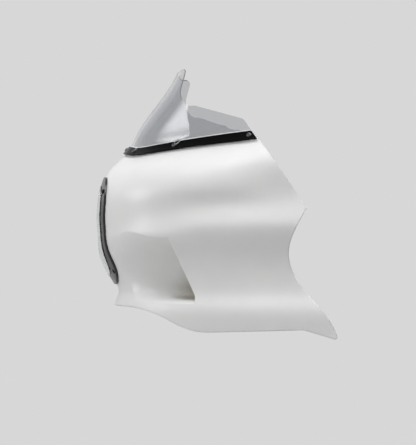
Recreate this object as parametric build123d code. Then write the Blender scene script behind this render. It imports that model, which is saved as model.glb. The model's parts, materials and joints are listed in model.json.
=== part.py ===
"""Motorcycle half fairing: moulded shell, windshield, headlight and the stay that carries them.

Millimetres. X runs to the rear of the motorcycle, Y to its right, Z up. The origin is the centre of
the underside of the stay's mounting plate, where the fairing bolts to the motorcycle.
"""

import math
import os
from dataclasses import dataclass
from functools import lru_cache
from typing import Callable

from build123d import *

# Shell
WALL = 3.2
NOSE_X = -348.0
REAR_PLANE_X = 160.0
REAR_REACH = 270.0
HALF_WIDTH = 305.0
CROWN_RISE = 12.0
CROWN_SPAN = 0.3
STATIONS_PER_SIDE = 12
REFERENCE_STATION = 0.6
BODY_DEPTH = 90.0
OVERRUN = 15.0
FAR = 450.0
STATION_STEP = 1e-3

# Extra points of the shell's profile between two style lines: share across at the nose and at the
# side, and share down
NOSE_BLEND = 0.35
SHOULDER_SHARES = (0.72, 0.63, 0.4)
SHELF_SHARES = (0.5, 0.4, 0.5)
UNDERCUT_SHARES = (0.42, 0.72, 0.45)
LIP_SHARES = (0.25, 0.25, 0.5)
SKIRT_SHARES = (0.5, 0.5, 0.5)

# Spacing of the points that sharpen a crease, and the dip of the ridge beside the headlight
CREASE = 5.5
BROW_DIP = 14.0
BROW_DIP_SPAN = (0.44, 0.62)

# Places of two style lines among the points of the shell's profile
FLANK_POINT = 3
CHANNEL_POINT = 9

# Scoop in front of each side panel
SCOOP_DEPTH = 54.0
SCOOP_FRONT = 0.195
SCOOP_DEEPEST = 0.55
SCOOP_PROUD = 2.0
SCOOP_SINK = (0.12, 0.8, 1.0, 1.0)
SCOOP_CORNER = 0.62
SCOOP_TOP = (-208.0, 205.0)
SCOOP_FOOT = (-124.5, 30.0)
SCOOP_CORNER_R = 20.0
SCOOP_NEAR_Y = 60.0
SCOOP_BODY_DEPTH = 120.0
SCOOP_WALL = 3.6

# Side outline of the shell, as x and z
RIDGE_TIP = (78.0, 226.0)
SCALLOP_TOP = (57.0, 188.0)
WAIST = (44.0, 140.0)
SCALLOP_FOOT = (54.0, 100.0)
SKIRT_REAR = (90.0, 51.0)
REAR_TIP = (136.0, -23.0)
SKIRT_HEEL = (72.0, -5.0)
BELLY_FRONT = (-116.0, -15.0)
CHIN_RISE = (-205.0, 13.0)
CHIN_EDGE = (-269.0, 26.0)
CHIN_Z = 19.0
TIP_R = 5.0
HEEL_R = 15.0

# Windshield and its trim, with the side outline as x and z
SCREEN_THICK = 3.0
TRIM_THICK = 2.5
SEAT_GAP = 0.35
REAR_INSET = 3.0
TRIM_REAR = (-12.0, 361.0)
SCREEN_CORNER = (-159.0, 513.0)
SCREEN_FLIP = (-167.0, 475.0)
SCREEN_NOTCH = (-169.0, 460.0)
SCREEN_BEND = (-161.0, 440.0)
WING_FRONT = (-140.0, 432.5)
WING_REAR = (-42.0, 402.0)
SCREEN_RISE = 0.23
SCREEN_CORNER_R = 6.0
WING_R = 12.0
SCREEN_SCREW_STATIONS = (0.2, 0.47, 0.742)
SCREW_LINE = 0.55
SCREEN_BAND = (0.0, 0.5, 0.95)
TRIM_BAND = (0.1, SCREW_LINE, 1.05)

# Screws, washers and nuts of the windshield and bezel
SCREW_R = 2.5
HOLE_CLEARANCE = 0.4
HEAD_R = 5.25
HEAD_H = 2.8
HEAD_ROUND = 2.2
SOCKET_R = 1.8
HEAD_LIFT = 0.3
NUT_R = 4.6
NUT_H = 5.0
WASHER_R = 6.0
WASHER_THICK = 1.0
FIT = 0.3

# Headlight
LAMP_Z = 178.0
BEZEL_WIDTH = 216.0
BEZEL_HEIGHT = 226.0
BEZEL_CORNER_R = 62.0
BEZEL_RING = 18.0
BEZEL_THICK = 4.0
BEZEL_SCREW_ANGLE = 35.0
OPENING_INSET = BEZEL_RING - 4.0
FLANGE_INSET = 3.0
LENS_PROUD = 6.0
LENS_THICK = 3.0
GASKET_THICK = 2.0
GASKET_BACK = -WALL - SEAT_GAP - GASKET_THICK
HOUSING_FRONT = GASKET_BACK - SEAT_GAP
HOUSING_FLANGE = 3.0
HOUSING_WALL = 2.5
HOUSING_REAR_X = -226.0
LAMP_REAR_X = -250.0
LAMP_SPLIT_X = -288.0
LAMP_BEND_X = -285.0
BUCKET_INSET = BEZEL_RING + FIT + LENS_THICK - 1.0
BUCKET_BACK = 100.0
BUCKET_BACK_R = 40.0
LUG_R = 6.5
LUG_LENGTH = 12.0
INSERT_R = 4.0
INSERT_SINK = 0.5
SPOT_DEPTH = 0.8
REFLECTOR_X = -250.0
REFLECTOR_FOCUS = 30.0
REFLECTOR_WALL = 2.0
REFLECTOR_SETBACK = 8.0

# Bulb and its boot
BULB_X = -240.0
BULB_R = 8.0
BULB_LENGTH = 48.0
BULB_NECK_R = 17.0
BULB_FLANGE_R = 21.0
BULB_FLANGE = 2.0
BULB_BASE_R = 15.0
BULB_BASE_LENGTH = 22.0
BLADE_LENGTH = 9.0
BLADE_WIDTH = 8.0
BLADE_THICK = 0.8
BLADE_SPREAD = 8.0
BOOT_NECK_R = 27.0
BOOT_LIP_R = 34.0
BOOT_LENGTH = 12.0
BOOT_WALL = 2.5

# Bonded studs and the stay
LOWER_STUD_STATION = 0.72
UPPER_STUD_STATION = 0.66
PAD_THICK = 2.5
STUD_FACE = -WALL - SEAT_GAP - PAD_THICK
STUD_BASE_R = 15.0
STUD_BASE = 1.5
STUD_R = 3.0
STUD_LENGTH = 20.0
STUD_NUT_R = 5.75
STUD_NUT_H = 5.0
GROMMET_R = 9.5
GROMMET_LIP = 2.0
TAB_R = 14.0
TAB_THICK = 4.0
TAB_HOLE_R = 6.5
BAR_R = 5.0
BAR_BEND_R = 24.0
BAR_SINK = 1.0
BAR_RISE = 60.0
BAR_LEAN = 14.0
PLATE_LENGTH = 100.0
PLATE_WIDTH = 84.0
PLATE_THICK = 6.0
PLATE_CORNER_R = 10.0
MOUNT_SPACING_X = 70.0
MOUNT_SPACING_Y = 54.0
MOUNT_HOLE_R = 4.5


def bezier(t, a, b, c, d):
    """Cubic curve from a to d with handles b and c."""
    s = 1 - t
    return s**3 * a + 3 * s * s * t * b + 3 * s * t * t * c + t**3 * d


def ease(t, start, stop):
    """Smooth step from 0 at start to 1 at stop."""
    s = min(max((abs(t) - start) / (stop - start), 0), 1)
    return s * s * (3 - 2 * s)


def mix(a, b, across, down):
    """Point between a and b, with separate shares in plan and in height."""
    return Vector(a.X + (b.X - a.X) * across, a.Y + (b.Y - a.Y) * across, a.Z + (b.Z - a.Z) * down)


def between(a, b, shares, side):
    """Point between two style lines, with its share across going from the nose's to the side's."""
    at_nose, at_side, down = shares
    return mix(a, b, at_nose + (at_side - at_nose) * side, down)


@dataclass(frozen=True)
class StyleLine:
    """A line along the shell, from the middle of the nose at t = 0 to the rear plane at t = 1 or -1."""

    setback: float
    reach: float
    inset: float
    flare: float
    heights: tuple
    crown: float = 0.0

    def point(self, t):
        """Point of the line at station t."""
        s = abs(t)
        nose = NOSE_X + self.setback
        width = HALF_WIDTH - self.inset
        x = bezier(s, nose, nose, REAR_PLANE_X - REAR_REACH, REAR_PLANE_X)
        y = bezier(s, 0, self.reach, width - self.flare * REAR_REACH, width)
        z = bezier(s, *self.heights)
        if s < CROWN_SPAN:
            z += self.crown * math.cos(math.pi / 2 * s / CROWN_SPAN) ** 2
        return Vector(x, math.copysign(y, t), z)


# Style lines from the windshield flange down to the hem
FLANGE = StyleLine(69, 110, 45, 0.37, (344, 344, 376, 391), CROWN_RISE)
BROW = StyleLine(54, 123, 35, 0.37, (327, 327, 357, 372), CROWN_RISE)
FLANK = StyleLine(2, 237, 15, 0.28, (235, 235, 258, 288))
VALLEY = StyleLine(0, 239, 20, 0.28, (205, 205, 240, 275))
RIDGE = StyleLine(5, 240, 0, 0.28, (136, 186, 188, 194))
CHANNEL = StyleLine(41, 212, 22, 0.22, (48, 60, 95, 95))
LIP = StyleLine(32, 220, 7, 0.20, (22, 32, 26, 33))
HEM = StyleLine(31, 221, 5, 0.20, (-33, -23, -29, -22))
SCREEN_LINE = StyleLine(172, 165, 100, 0.15, (524, 524, 524, 524))


def crease(corner, before, after):
    """Two points either side of a corner, so that the profile bends sharply between them."""
    return [corner + (end - corner).normalized() * CREASE for end in (before, after)]


def hull_points(t):
    """Outer profile of the shell at station t, from the flange to the hem."""
    flange, brow, flank, valley = (line.point(t) for line in (FLANGE, BROW, FLANK, VALLEY))
    ridge, channel, lip, hem = (line.point(t) for line in (RIDGE, CHANNEL, LIP, HEM))
    side = ease(t, 0, NOSE_BLEND)
    ridge -= Vector(0, 0, BROW_DIP) * (1 - ease(t, *BROW_DIP_SPAN))
    shoulder = between(brow, flank, SHOULDER_SHARES, side)
    shelf = between(valley, ridge, SHELF_SHARES, side)
    under = between(ridge, channel, UNDERCUT_SHARES, side)
    flare = between(channel, lip, LIP_SHARES, side)
    skirt = between(lip, hem, SKIRT_SHARES, side)
    upper = [flange, brow, shoulder, flank, valley, shelf, *crease(ridge, shelf, under)]
    return [*upper, under, channel, flare, *crease(lip, flare, skirt), skirt, hem]


def scoop_points(t):
    """The hull's profile with the channel sunk into the scoop, and the rest just proud of the hull."""
    along = RIDGE.point(t + STATION_STEP) - RIDGE.point(t - STATION_STEP)
    outward = Vector(-along.Y, along.X, 0).normalized()
    inward = -outward * (SCOOP_DEPTH + SCOOP_PROUD) * ease(t, SCOOP_FRONT, SCOOP_DEEPEST)
    *upper, eave, under, channel, _, lip, lip_foot, skirt, hem = hull_points(t)
    corner = mix(channel, lip, 0.0, SCOOP_CORNER)
    floor = [point + inward * share for point, share in zip((eave, under, channel, corner), SCOOP_SINK)]
    return [point + outward * SCOOP_PROUD for point in (*upper, *floor, lip, lip_foot, skirt, hem)]


class Skin:
    """A smooth sheet: one profile through its style points, carried along every station."""

    def __init__(self, points: Callable):
        self.points = points
        reference = points(REFERENCE_STATION)
        lengths = [(b - a).length for a, b in zip(reference, reference[1:])]
        self.steps = [sum(lengths[:index]) / sum(lengths) for index in range(len(reference))]

    def curve(self, t):
        """Profile at station t."""
        return Edge.make_spline(self.points(t), parameters=self.steps)

    def frames(self, t, shares, offset=0.0):
        """Points of the sheet moved out by offset, with outward normals, at shares of the profile."""
        here, ahead, behind = (self.curve(t + step) for step in (0, STATION_STEP, -STATION_STEP))
        mode = PositionMode.PARAMETER
        result = []
        for share in shares:
            along = ahead.position_at(share, mode) - behind.position_at(share, mode)
            normal = along.cross(here.tangent_at(share, mode)).normalized()
            result.append((here.position_at(share, mode) + normal * offset, normal))
        return result

    def seat(self, t, share, offset=0.0):
        """Plane on the sheet, facing out, with its X along the station lines."""
        point, normal = self.frames(t, [share], offset)[0]
        ahead, _ = self.frames(t + STATION_STEP, [share], offset)[0]
        return Plane(point, x_dir=ahead - point, z_dir=normal)


def at_rear(t, point):
    """The point, moved into the rear plane if it belongs to the last station."""
    return Vector(REAR_PLANE_X, point.Y, point.Z) if abs(t) > 1 - 1e-6 else point


def stations():
    """Stations from the left rear round the nose to the right rear."""
    return [index / STATIONS_PER_SIDE for index in range(-STATIONS_PER_SIDE, STATIONS_PER_SIDE + 1)]


@lru_cache(maxsize=None)
def filled(skin, offset=0.0, overrun=0.0, depth=BODY_DEPTH):
    """Solid behind a sheet: the sheet moved out by offset, run on at both edges and closed at depth."""
    sections = []
    for t in stations():
        frames = skin.frames(t, skin.steps, offset)
        points, steps = [point for point, _ in frames], list(skin.steps)
        if overrun:
            points.insert(0, points[0] + (points[0] - points[1]).normalized() * overrun)
            points.append(points[-1] + (points[-1] - points[-2]).normalized() * overrun)
            steps = [2 * steps[0] - steps[1], *steps, 2 * steps[-1] - steps[-2]]
        back_top, back_foot = points[0] - frames[0][1] * depth, points[-1] - frames[-1][1] * depth
        points = [at_rear(t, point) for point in points]
        corners = [points[-1], at_rear(t, back_foot), at_rear(t, back_top), points[0]]
        closing = [Edge.make_line(a, b) for a, b in zip(corners, corners[1:])]
        sections.append(Wire([Edge.make_spline(points, parameters=steps), *closing]))
    return Solid.make_loft(sections)


def sheet(skin, thickness):
    """Thin solid: a sheet with the given thickness behind it."""
    sections = []
    for t in stations():
        outside = [at_rear(t, point) for point, _ in skin.frames(t, skin.steps)]
        inside = [at_rear(t, point) for point, _ in skin.frames(t, skin.steps, -thickness)]
        front = Edge.make_spline(outside, parameters=skin.steps)
        back = Edge.make_spline(inside, parameters=skin.steps)
        caps = [Edge.make_line(outside[index], inside[index]) for index in (0, -1)]
        sections.append(Wire([front, caps[1], back, caps[0]]))
    return Solid.make_loft(sections)


def both_sides(left):
    """A piece of the left side and its mirror image on the right."""
    return [left, mirror(left, Plane.XZ)]


def side_block(edges):
    """Block seen from the side: a closed outline in the middle plane, drawn across both sides."""
    return extrude(make_face(edges), FAR, dir=(0, 1, 0), both=True)


def side_points(*pairs):
    """Points in the middle plane from pairs of x and z."""
    return [Vector(x, 0, z) for x, z in pairs]


def rounded(block, corner, radius):
    """The block with its edge at a corner of the side view rounded."""
    edge = block.edges().filter_by(Axis.Y).sort_by_distance((corner[0], 0, corner[1]))[0]
    return fillet(edge, radius)


def rear_line(z, inset=0.0):
    """Point of the straight upper rear edge at a height, moved forward by an inset."""
    share = (z - RIDGE_TIP[1]) / (TRIM_REAR[1] - RIDGE_TIP[1])
    return (RIDGE_TIP[0] + (TRIM_REAR[0] - RIDGE_TIP[0]) * share - inset, z)


def shell_outline():
    """Side outline of the shell: straight upper rear edge, waist, skirt and rising chin."""
    tip, waist, rear, heel, belly = side_points(RIDGE_TIP, WAIST, REAR_TIP, SKIRT_HEEL, BELLY_FRONT)
    scallop = side_points(SCALLOP_TOP, SCALLOP_FOOT, SKIRT_REAR)
    chin = side_points(CHIN_RISE, CHIN_EDGE, (NOSE_X, CHIN_Z))
    head, front_top, front_foot = side_points(rear_line(FAR), (-FAR, FAR), (-FAR, CHIN_Z))
    outline = [
        Line(head, tip),
        Spline(tip, scallop[0], waist, scallop[1], scallop[2], rear),
        Line(rear, heel),
        Line(heel, belly),
        Spline(belly, *chin, tangents=((-1, 0, 0), (-1, 0, 0))),
        Line(chin[-1], front_foot),
        Line(front_foot, front_top),
        Line(front_top, head),
    ]
    block = side_block(outline)
    for corner, radius in ((RIDGE_TIP, TIP_R), (REAR_TIP, TIP_R), (SKIRT_HEEL, HEEL_R)):
        block = rounded(block, corner, radius)
    return block


def scoop_block(grow=0.0):
    """Space in front of the slanted panel edges, on both sides, enlarged all round by grow."""
    corners = [(-FAR, SCOOP_TOP[1]), SCOOP_TOP, SCOOP_FOOT, (-FAR, SCOOP_FOOT[1])]
    outline = make_face(Polyline(*corners, close=True))
    outline = fillet(outline.vertices().sort_by_distance((*SCOOP_FOOT, 0))[0], SCOOP_CORNER_R)
    if grow:
        outline = offset(outline, grow)
    return both_sides(extrude(Plane.XZ.offset(SCOOP_NEAR_Y) * outline, FAR))


def lamp_outline(inset):
    """Outline of the headlight seen from the front, inside the bezel's edge by inset."""
    radius = BEZEL_CORNER_R - inset
    return RectangleRounded(BEZEL_WIDTH - 2 * inset, BEZEL_HEIGHT - 2 * inset, radius)


def lamp_prism(inset, front=-FAR, rear=0.0):
    """The headlight's outline drawn along X."""
    plane = Plane((front, 0, LAMP_Z), x_dir=(0, 1, 0), z_dir=(1, 0, 0))
    return extrude(plane * lamp_outline(inset), rear - front)


@lru_cache(maxsize=None)
def hull_spot(y, z):
    """Station and profile share of the hull at a width and height, found by halving."""
    t, share = 0.3, 0.4
    for _ in range(4):
        low, high = 0.0, 0.6
        for _ in range(20):
            t = (low + high) / 2
            wide = HULL.frames(t, [share])[0][0].Y
            low, high = (t, high) if wide < abs(y) else (low, t)
        low, high = 0.0, 1.0
        for _ in range(20):
            share = (low + high) / 2
            above = HULL.frames(t, [share])[0][0].Z
            low, high = (share, high) if above > z else (low, share)
    return math.copysign(t, y), share


def drilled(piece, planes, radius, reach=30.0):
    """The piece with a round hole through it at each plane."""
    return piece - [plane * Cylinder(radius, 2 * reach) for plane in planes]


def at_seats(seats, piece):
    """A copy of the piece on every plane."""
    return [seat * piece for seat in seats]


def fairing_shell():
    """The moulded shell with its scoops, headlight opening and fastener holes."""
    outside = filled(HULL)
    inside = filled(HULL, -WALL, OVERRUN)
    scoop_floor = filled(SCOOP, depth=SCOOP_BODY_DEPTH)
    scoop_back = filled(SCOOP, -SCOOP_WALL, depth=SCOOP_BODY_DEPTH)
    outside = outside - [air - scoop_floor for air in scoop_block()]
    inside = inside - [air - scoop_back for air in scoop_block(WALL)]
    shell = (outside - inside) & shell_outline()
    shell = shell - lamp_prism(OPENING_INSET, rear=LAMP_REAR_X)
    shell = drilled(shell, screen_seats(), SCREW_R + HOLE_CLEARANCE)
    return drilled(shell, bezel_seats(), SCREW_R + HOLE_CLEARANCE)


def screen_points(t):
    """Outer profile of the windshield at station t, from the top down over the flange."""
    shares = [share * HULL.steps[1] for share in SCREEN_BAND]
    flange, middle, foot = (point for point, _ in HULL.frames(t, shares, SEAT_GAP + SCREEN_THICK))
    upper = SCREEN_LINE.point(t)
    return [upper, mix(upper, flange, 0.5, 0.5), mix(flange, upper, 0.08, 0.1), flange, middle, foot]


def windshield():
    """The formed screen: raked front, flip at the notch and a low wing along each side."""
    corner, notch, wing, wing_rear = side_points(SCREEN_CORNER, SCREEN_NOTCH, WING_FRONT, WING_REAR)
    above, below = side_points(SCREEN_FLIP, SCREEN_BEND)
    rear_foot = side_points(rear_line(TRIM_REAR[1] - FAR / 4, REAR_INSET))[0]
    crest = Vector(-FAR, 0, SCREEN_CORNER[1] - SCREEN_RISE * (SCREEN_CORNER[0] + FAR))
    front = Vector(-FAR, 0, rear_foot.Z)
    outline = [
        Line(crest, corner),
        Spline(corner, above, notch, below, wing),
        Line(wing, wing_rear),
        Line(wing_rear, rear_foot),
        Line(rear_foot, front),
        Line(front, crest),
    ]
    block = side_block(outline)
    block = rounded(block, SCREEN_CORNER, SCREEN_CORNER_R)
    block = rounded(block, WING_REAR, WING_R)
    screen = sheet(Skin(screen_points), SCREEN_THICK) & block
    return drilled(screen, screen_seats(), SCREW_R + HOLE_CLEARANCE)


def trim_points(t):
    """Outer profile of the trim strip at station t."""
    shares = [share * HULL.steps[1] for share in TRIM_BAND]
    return [point for point, _ in HULL.frames(t, shares, trim_lift())]


def trim_lift():
    """Height of the trim's outer face over the hull."""
    return 2 * SEAT_GAP + SCREEN_THICK + TRIM_THICK


def windshield_trim():
    """The strip that clamps the foot of the windshield round the nose."""
    strip = sheet(Skin(trim_points), TRIM_THICK)
    corners = side_points((-FAR, 0), rear_line(0, REAR_INSET), rear_line(FAR, REAR_INSET), (-FAR, FAR))
    strip = strip & side_block(Polyline(*corners, close=True).edges())
    return drilled(strip, screen_seats(), SCREW_R + HOLE_CLEARANCE)


def screen_seats(lift=0.0):
    """Planes of the windshield screws, lifted off the hull."""
    share = SCREW_LINE * HULL.steps[1]
    spots = [0.0] + [side * t for t in SCREEN_SCREW_STATIONS for side in (-1, 1)]
    return [HULL.seat(t, share, lift) for t in spots]


def bezel_lift():
    """Height over the hull of the flat spots under the bezel screws."""
    return SEAT_GAP + BEZEL_THICK - SPOT_DEPTH


def bezel_seats(lift=0.0):
    """Planes of the four bezel screws, lifted off the hull."""
    radius = BEZEL_CORNER_R - BEZEL_RING / 2
    angle = math.radians(BEZEL_SCREW_ANGLE)
    y = BEZEL_WIDTH / 2 - BEZEL_CORNER_R + radius * math.cos(angle)
    z = BEZEL_HEIGHT / 2 - BEZEL_CORNER_R + radius * math.sin(angle)
    spots = [hull_spot(side * y, LAMP_Z + level * z) for side in (-1, 1) for level in (-1, 1)]
    return [HULL.seat(t, share, lift) for t, share in spots]


def button_screw(length):
    """Button-head screw with a hexagon socket, its head's underside at z = 0."""
    head = Pos(0, 0, HEAD_H / 2) * Cylinder(HEAD_R, HEAD_H)
    head = fillet(head.edges().group_by(Axis.Z)[-1], HEAD_ROUND)
    socket = Pos(0, 0, HEAD_H / 2) * extrude(RegularPolygon(SOCKET_R, 6), HEAD_H)
    return head - socket + Pos(0, 0, -length / 2) * Cylinder(SCREW_R, length)


def ring(outer_r, inner_r, thickness):
    """Flat ring lying on z = 0."""
    return Pos(0, 0, thickness / 2) * (Cylinder(outer_r, thickness) - Cylinder(inner_r, thickness))


def hex_nut(across_r, bore_r, height):
    """Hexagon nut lying on z = 0."""
    return extrude(RegularPolygon(across_r, 6) - Circle(bore_r), height)


def nose_layer(prism, top, bottom):
    """The part of a prism that lies between two offsets from the hull."""
    return (prism & filled(HULL, top)) - filled(HULL, bottom)


def lamp_ring(outer_inset, inner_inset):
    """Ring prism between two insets of the headlight's outline."""
    return lamp_prism(outer_inset, rear=LAMP_REAR_X) - lamp_prism(inner_inset, rear=LAMP_REAR_X)


def behind_nose(piece, lift):
    """The piece, cut off in front where it passes the hull moved out by lift."""
    size = 2 * BEZEL_HEIGHT
    front = Pos((LAMP_SPLIT_X - FAR) / 2, 0, LAMP_Z) * Box(FAR + LAMP_SPLIT_X, size, size)
    return piece - (front - filled(HULL, lift))


def headlight_bezel():
    """Ring over the edge of the opening, shaped to the nose."""
    bezel = nose_layer(lamp_ring(0, BEZEL_RING), SEAT_GAP + BEZEL_THICK, SEAT_GAP)
    spot_face = Pos(0, 0, BEZEL_THICK) * Cylinder(HEAD_R + FIT, 2 * BEZEL_THICK)
    bezel = bezel - at_seats(bezel_seats(bezel_lift()), spot_face)
    return drilled(bezel, bezel_seats(), SCREW_R + HOLE_CLEARANCE)


def headlight_lens():
    """Clear lens: a curved front with a rim that reaches back to the housing."""
    edge = BEZEL_RING + FIT
    front = nose_layer(lamp_prism(edge, rear=LAMP_REAR_X), LENS_PROUD, LENS_PROUD - LENS_THICK)
    rim = nose_layer(lamp_ring(edge, edge + LENS_THICK), LENS_PROUD - LENS_THICK / 2, GASKET_BACK)
    return front + rim


def lens_gasket():
    """Rubber ring between the shell and the headlight housing."""
    gasket = nose_layer(lamp_ring(FLANGE_INSET, OPENING_INSET), -WALL - SEAT_GAP, GASKET_BACK)
    return drilled(gasket, bezel_seats(), SCREW_R + HOLE_CLEARANCE)


def bucket(inset, back_inset, rear_x):
    """Solid of the headlight housing's bucket: a straight front and a tapered rear."""
    front = lamp_prism(inset, rear=LAMP_BEND_X)
    bend = Plane((LAMP_BEND_X, 0, LAMP_Z), x_dir=(0, 1, 0), z_dir=(1, 0, 0))
    back_size, back_r = BUCKET_BACK - 2 * back_inset, BUCKET_BACK_R - back_inset
    back = bend.offset(rear_x - LAMP_BEND_X) * RectangleRounded(back_size, back_size, back_r)
    return front + loft([bend * lamp_outline(inset), back])


def headlight_housing():
    """Bucket with the flange and screw lugs that clamp it behind the opening."""
    inside = BUCKET_INSET + HOUSING_WALL
    hollow = bucket(inside, HOUSING_WALL, HOUSING_REAR_X - HOUSING_WALL)
    flange = nose_layer(lamp_ring(FLANGE_INSET, inside), HOUSING_FRONT, HOUSING_FRONT - HOUSING_FLANGE)
    housing = behind_nose(bucket(BUCKET_INSET, 0, HOUSING_REAR_X), HOUSING_FRONT) + flange
    lug_middle = HOUSING_FRONT - (LUG_LENGTH + HOUSING_FLANGE) / 2
    housing = housing + at_seats(bezel_seats(lug_middle), Cylinder(LUG_R, LUG_LENGTH))
    housing = housing - hollow
    housing = drilled(housing, bezel_seats(), INSERT_R + FIT / 2)
    back = Plane((HOUSING_REAR_X, 0, LAMP_Z), x_dir=(0, 1, 0), z_dir=(1, 0, 0))
    return housing - back * Cylinder(BOOT_NECK_R, 4 * HOUSING_WALL)


def lamp_turned(*outline):
    """Solid turned about the headlight's axis from corners given as x and radius."""
    points = [Vector(x, 0, LAMP_Z + radius) for x, radius in outline]
    face = make_face(Polyline(*points, close=True))
    return revolve(face, Axis((0, 0, LAMP_Z), (1, 0, 0)))


def lamp_tube(front, rear, inner_r, outer_r):
    """Tube on the headlight's axis, or a rod where the inner radius is 0."""
    return lamp_turned((front, inner_r), (front, outer_r), (rear, outer_r), (rear, inner_r))


def headlight_reflector():
    """Paraboloid bowl cut to the housing's outline, with a neck for the bulb."""
    reach = math.hypot(BEZEL_WIDTH, BEZEL_HEIGHT) / 2
    depth = reach**2 / (4 * REFLECTOR_FOCUS)

    def dish(shift):
        start = Vector(REFLECTOR_X + shift, 0, LAMP_Z)
        rim = Vector(REFLECTOR_X + shift - depth, 0, LAMP_Z + reach)
        handle = Vector(REFLECTOR_X + shift, 0, LAMP_Z + reach / 2)
        return Bezier(start, handle, rim)

    front, back = dish(0), dish(REFLECTOR_WALL)
    section = make_face([front, back, Line(front @ 0, back @ 0), Line(front @ 1, back @ 1)])
    bowl = revolve(section, Axis((0, 0, LAMP_Z), (1, 0, 0)))
    bowl = bowl & lamp_prism(BUCKET_INSET + HOUSING_WALL + FIT)
    bowl = behind_nose(bowl, HOUSING_FRONT - REFLECTOR_SETBACK)
    neck_front = REFLECTOR_X - BULB_FLANGE_R**2 / (4 * REFLECTOR_FOCUS)
    neck = lamp_tube(neck_front, BULB_X, BULB_NECK_R, BULB_FLANGE_R)
    return bowl + neck - lamp_tube(-FAR, 0, 0, BULB_NECK_R)


def headlight_bulb():
    """Glass of the bulb, closed by a dome in front."""
    glass = lamp_tube(BULB_X - BULB_LENGTH, BULB_X, 0, BULB_R)
    return fillet(glass.edges().group_by(Axis.X)[0], 0.9 * BULB_R)


def bulb_base():
    """Metal flange of the bulb with the plug body behind it."""
    face = BULB_X + FIT / 2
    back = face + BULB_FLANGE
    plug = lamp_tube(back, back + BULB_BASE_LENGTH, 0, BULB_BASE_R)
    return lamp_tube(face, back, 0, BULB_FLANGE_R) + plug


def bulb_terminals():
    """Three blades behind the bulb's base."""
    rear = BULB_X + FIT / 2 + BULB_FLANGE + BULB_BASE_LENGTH
    blade = Box(BLADE_LENGTH, BLADE_WIDTH, BLADE_THICK)
    upright = Box(BLADE_LENGTH, BLADE_THICK, BLADE_WIDTH)
    middle = Pos(rear + BLADE_LENGTH / 2, 0, LAMP_Z)
    return [
        middle * Pos(0, 0, BLADE_SPREAD) * blade,
        middle * Pos(0, -BLADE_SPREAD, 0) * upright,
        middle * Pos(0, BLADE_SPREAD, 0) * upright,
    ]


def bulb_boot():
    """Rubber boot that closes the back of the housing round the bulb's base."""
    lip, rear = HOUSING_REAR_X + FIT / 2, HOUSING_REAR_X + BOOT_LENGTH
    grip = BULB_BASE_R + FIT / 2
    thick = BOOT_WALL
    flange = [(lip, BOOT_NECK_R), (lip, BOOT_LIP_R), (lip + thick, BOOT_LIP_R), (lip + thick, BOOT_NECK_R)]
    collar = [(rear, grip + thick), (rear, grip), (rear - 2 * thick, grip)]
    return lamp_turned(*flange, *collar, (rear - 2 * thick, grip + thick / 2))


def stud_seats(lift=0.0):
    """Planes of the bonded studs inside the shell, facing out."""
    spots = ((LOWER_STUD_STATION, HULL.steps[CHANNEL_POINT]), (UPPER_STUD_STATION, HULL.steps[FLANK_POINT]))
    return [HULL.seat(side * t, share, lift) for side in (-1, 1) for t, share in spots]


def stud_pads():
    """Pads of structural adhesive between the stud bases and the shell."""
    inside = filled(HULL, -WALL - SEAT_GAP, OVERRUN)
    blank = Pos(0, 0, 2 * PAD_THICK) * Cylinder(STUD_BASE_R, 4 * PAD_THICK)
    return [pad & inside for pad in at_seats(stud_seats(STUD_FACE), blank)]


def shell_studs():
    """Bonded studs: a round base with a threaded stem that points into the shell."""
    base = Pos(0, 0, -STUD_BASE / 2) * Cylinder(STUD_BASE_R, STUD_BASE)
    stem = Pos(0, 0, -STUD_BASE - STUD_LENGTH / 2) * Cylinder(STUD_R, STUD_LENGTH)
    return at_seats(stud_seats(STUD_FACE - FIT / 2), base + stem)


def stay_levels():
    """Offsets from the hull, inward, of the tab, grommet, washer and nut on a stud."""
    grommet = STUD_FACE - FIT / 2 - STUD_BASE - FIT / 2
    tab = grommet - GROMMET_LIP - FIT / 2
    washer = tab - TAB_THICK - FIT / 2 - GROMMET_LIP - FIT / 2
    return grommet, tab, washer, washer - WASHER_THICK - FIT / 2


def stud_grommets():
    """Rubber grommets that hold the tabs of the stay."""
    height = 2 * GROMMET_LIP + TAB_THICK + FIT
    spool = ring(GROMMET_R, STUD_R + FIT / 2, height)
    groove = ring(2 * GROMMET_R, TAB_HOLE_R - FIT / 2, TAB_THICK + FIT)
    spool = Pos(0, 0, -height) * (spool - Pos(0, 0, GROMMET_LIP) * groove)
    return at_seats(stud_seats(stay_levels()[0]), spool)


def stud_washers():
    """Steel washers on the grommets."""
    washer = Pos(0, 0, -WASHER_THICK) * ring(GROMMET_R, STUD_R + FIT / 2, WASHER_THICK)
    return at_seats(stud_seats(stay_levels()[2]), washer)


def stud_nuts():
    """Nuts on the studs."""
    nut = Pos(0, 0, -STUD_NUT_H) * hex_nut(STUD_NUT_R, STUD_R + FIT / 2, STUD_NUT_H)
    return at_seats(stud_seats(stay_levels()[3]), nut)


def bar(points):
    """Round bar along a route with rounded bends."""
    route = FilletPolyline(*points, radius=BAR_BEND_R)
    section = Plane(route @ 0, z_dir=route % 0) * Circle(BAR_R)
    return sweep(section, route)


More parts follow.
